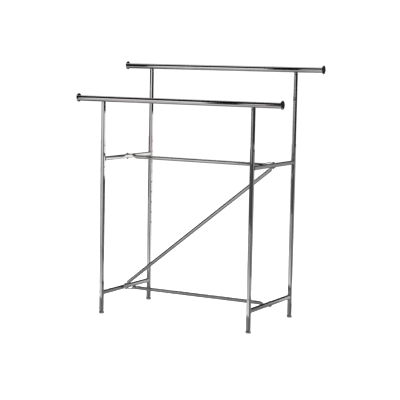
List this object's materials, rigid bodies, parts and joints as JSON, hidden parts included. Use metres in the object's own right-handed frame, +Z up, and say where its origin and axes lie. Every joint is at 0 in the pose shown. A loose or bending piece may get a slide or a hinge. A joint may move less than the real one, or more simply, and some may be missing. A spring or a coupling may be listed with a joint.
{
  "type": "double rail garment rack",
  "caption": "Free-standing chromed garment rack: parallel round hang rails at different heights on telescoping square posts, joined by a folding Z brace.",
  "frame": {"origin": "on the floor, in the middle of the rack's footprint", "axes": "+X along the hang rails to the right, +Y from the lower front rail to the higher rear rail, +Z up"},
  "size_m": [1.6046, 0.7014, 1.7861],
  "materials": {
    "chrome": "bright chrome plate on steel tube",
    "zinc": "bright zinc or nickel plated steel fasteners",
    "nylon": "natural nylon"
  },
  "bodies": {
    "z_brace": {"brace_upper_bar": "chrome", "brace_diagonal_bar": "chrome", "brace_lower_bar": "chrome", "left_upper_pivot_bolt": "zinc", "left_upper_pivot_nut": "zinc", "left_upper_pivot_washer": "nylon", "left_lower_pivot_bolt": "zinc", "left_lower_pivot_nut": "zinc", "left_lower_pivot_washer": "nylon", "right_upper_pivot_bolt": "zinc", "right_upper_pivot_nut": "zinc", "right_upper_pivot_washer": "nylon", "right_lower_pivot_bolt": "zinc", "right_lower_pivot_nut": "zinc", "right_lower_pivot_washer": "nylon"},
    "left_end_frame": {"left_upper_crossbar": "chrome", "left_lower_crossbar": "chrome", "left_front_post": "chrome", "left_front_glide": "chrome", "left_front_lock_screw": "zinc", "left_rear_post": "chrome", "left_rear_glide": "chrome", "left_rear_lock_screw": "zinc"},
    "right_end_frame": {"right_upper_crossbar": "chrome", "right_lower_crossbar": "chrome", "right_front_post": "chrome", "right_front_glide": "chrome", "right_front_lock_screw": "zinc", "right_rear_post": "chrome", "right_rear_glide": "chrome", "right_rear_lock_screw": "zinc"},
    "left_front_sliding_upright": {"left_front_upright": "chrome", "left_front_set_screw": "zinc"},
    "left_front_button": {"left_front_button_clip": "zinc"},
    "right_front_sliding_upright": {"right_front_upright": "chrome", "right_front_set_screw": "zinc"},
    "right_front_button": {"right_front_button_clip": "zinc"},
    "left_rear_sliding_upright": {"left_rear_upright": "chrome", "left_rear_set_screw": "zinc"},
    "left_rear_button": {"left_rear_button_clip": "zinc"},
    "right_rear_sliding_upright": {"right_rear_upright": "chrome", "right_rear_set_screw": "zinc"},
    "right_rear_button": {"right_rear_button_clip": "zinc"},
    "front_hang_rail": {"front_rail": "chrome", "left_front_rail_stub": "chrome", "right_front_rail_stub": "chrome", "left_front_end_cap": "chrome", "right_front_end_cap": "chrome"},
    "rear_hang_rail": {"rear_rail": "chrome", "left_rear_rail_stub": "chrome", "right_rear_rail_stub": "chrome", "left_rear_end_cap": "chrome", "right_rear_end_cap": "chrome"}
  },
  "joints": [
    {"name": "left_frame_fold", "type": "hinge", "parent": "z_brace", "child": "left_end_frame", "pos_m": [-0.58737, 0, 0.62865], "axis": [0, 0, 1], "range_deg": [-54, 54]},
    {"name": "right_frame_fold", "type": "hinge", "parent": "z_brace", "child": "right_end_frame", "pos_m": [0.58737, 0, 0.62865], "axis": [0, 0, 1], "range_deg": [-54, 54]},
    {"name": "left_front_height", "type": "slide", "parent": "left_end_frame", "child": "left_front_sliding_upright", "axis": [0, 0, 1], "range_m": [-0.2286, 0.381], "deforming": ["left_front_button_clip"]},
    {"name": "right_front_height", "type": "slide", "parent": "right_end_frame", "child": "right_front_sliding_upright", "axis": [0, 0, 1], "range_m": [-0.2286, 0.381], "deforming": ["right_front_button_clip"]},
    {"name": "front_rail_turn", "type": "hinge", "parent": "left_front_sliding_upright", "child": "front_hang_rail", "pos_m": [-0.58737, -0.32067, 1.524], "axis": [0, 0, 1], "range_deg": [-54, 54]},
    {"name": "left_front_button_press", "type": "slide", "parent": "left_front_sliding_upright", "child": "left_front_button", "axis": [-1, 0, 0], "range_m": [0, 0.0045], "stiffness_N_per_m": 400, "springref_m": -0.002, "deforming": ["left_front_button_clip"]},
    {"name": "right_front_button_press", "type": "slide", "parent": "right_front_sliding_upright", "child": "right_front_button", "axis": [1, 0, 0], "range_m": [0, 0.0045], "stiffness_N_per_m": 400, "springref_m": -0.002, "deforming": ["right_front_button_clip"]},
    {"name": "left_rear_height", "type": "slide", "parent": "left_end_frame", "child": "left_rear_sliding_upright", "axis": [0, 0, 1], "range_m": [-0.4572, 0.1524], "deforming": ["left_rear_button_clip"]},
    {"name": "right_rear_height", "type": "slide", "parent": "right_end_frame", "child": "right_rear_sliding_upright", "axis": [0, 0, 1], "range_m": [-0.4572, 0.1524], "deforming": ["right_rear_button_clip"]},
    {"name": "rear_rail_turn", "type": "hinge", "parent": "left_rear_sliding_upright", "child": "rear_hang_rail", "pos_m": [-0.58737, 0.32067, 1.7526], "axis": [0, 0, 1], "range_deg": [-54, 54]},
    {"name": "left_rear_button_press", "type": "slide", "parent": "left_rear_sliding_upright", "child": "left_rear_button", "axis": [-1, 0, 0], "range_m": [0, 0.0045], "stiffness_N_per_m": 400, "springref_m": -0.002, "deforming": ["left_rear_button_clip"]},
    {"name": "right_rear_button_press", "type": "slide", "parent": "right_rear_sliding_upright", "child": "right_rear_button", "axis": [1, 0, 0], "range_m": [0, 0.0045], "stiffness_N_per_m": 400, "springref_m": -0.002, "deforming": ["right_rear_button_clip"]}
  ],
  "couplings": [
    {"joint": "right_frame_fold", "follows": "left_frame_fold", "ratio": 1},
    {"joint": "right_front_height", "follows": "left_front_height", "ratio": 1},
    {"joint": "front_rail_turn", "follows": "left_frame_fold", "ratio": -1},
    {"joint": "right_rear_height", "follows": "left_rear_height", "ratio": 1},
    {"joint": "rear_rail_turn", "follows": "left_frame_fold", "ratio": -1}
  ]
}
